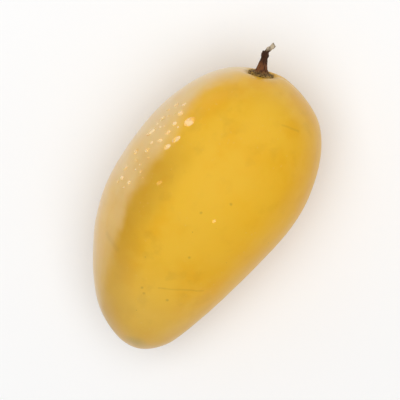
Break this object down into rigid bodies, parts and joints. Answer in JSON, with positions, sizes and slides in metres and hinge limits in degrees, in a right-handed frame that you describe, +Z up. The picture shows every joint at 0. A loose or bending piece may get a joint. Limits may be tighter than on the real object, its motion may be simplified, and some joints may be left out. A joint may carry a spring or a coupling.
{
  "type": "mango",
  "caption": "Whole ripe yellow mango lying on its cheek, kidney-shaped and tapering to the apex, with a short dried stalk in a shallow basin.",
  "frame": {"origin": "middle of the underside of the box round the whole mango, level with the flat spot that it rests on", "axes": "+X from the apex to the stalk end, +Y towards the back, which is the long curved edge, and +Z up through the upper cheek"},
  "size_m": [0.1374, 0.0728, 0.0639],
  "materials": {
    "skin": "satin",
    "bark": "matte"
  },
  "bodies": {
    "root": {"fruit": "skin", "stalk": "bark"}
  },
  "joints": []
}
